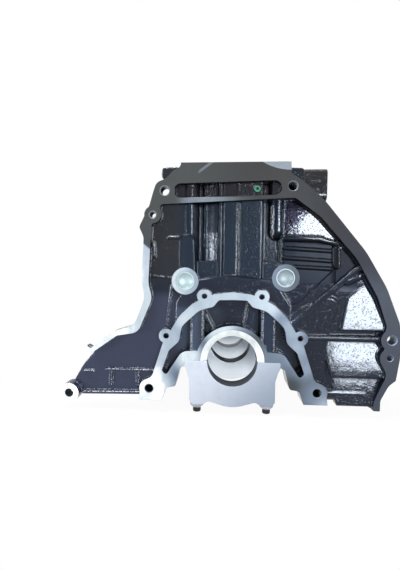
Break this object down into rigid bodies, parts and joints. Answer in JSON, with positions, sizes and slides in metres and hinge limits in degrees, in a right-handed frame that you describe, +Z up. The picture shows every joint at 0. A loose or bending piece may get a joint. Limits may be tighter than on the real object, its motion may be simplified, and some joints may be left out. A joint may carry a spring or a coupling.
{
  "type": "engine block",
  "caption": "Cast engine block for an inline engine with bolted main bearing caps, core plugs and a wide gearbox flange.",
  "frame": {"origin": "crankshaft centreline in the plane of the gearbox face", "axes": "+X right as seen from the gearbox end, +Y along the crankshaft towards the timing end, +Z up along the cylinders"},
  "size_m": [0.354, 0.372, 0.2654],
  "materials": {
    "painted_block": "gloss black paint on rough cast iron; flanges, deck and bores machined bare",
    "machined_cap": "machined, pale grey",
    "plug_steel": "bright pressed steel",
    "bolt_steel": "dull steel",
    "green_plug": "green sealing paint"
  },
  "bodies": {
    "root": {"cylinder_block": "painted_block", "main_bearing_cap_1": "machined_cap", "main_bearing_cap_2": "machined_cap", "main_bearing_cap_3": "machined_cap", "main_bearing_cap_4": "machined_cap", "main_bearing_cap_5": "machined_cap", "main_cap_bolts": "bolt_steel", "rear_core_plug_left": "plug_steel", "rear_core_plug_right": "plug_steel", "core_plug_left_1": "plug_steel", "core_plug_left_2": "plug_steel", "core_plug_left_3": "plug_steel", "core_plug_right_1": "plug_steel", "core_plug_right_2": "plug_steel", "core_plug_right_3": "plug_steel", "oil_passage_plug": "green_plug", "gallery_plug": "bolt_steel", "oil_filter_stud": "bolt_steel", "coolant_drain_plug": "bolt_steel", "deck_dowels": "bolt_steel", "timing_dowels": "bolt_steel"}
  },
  "joints": []
}
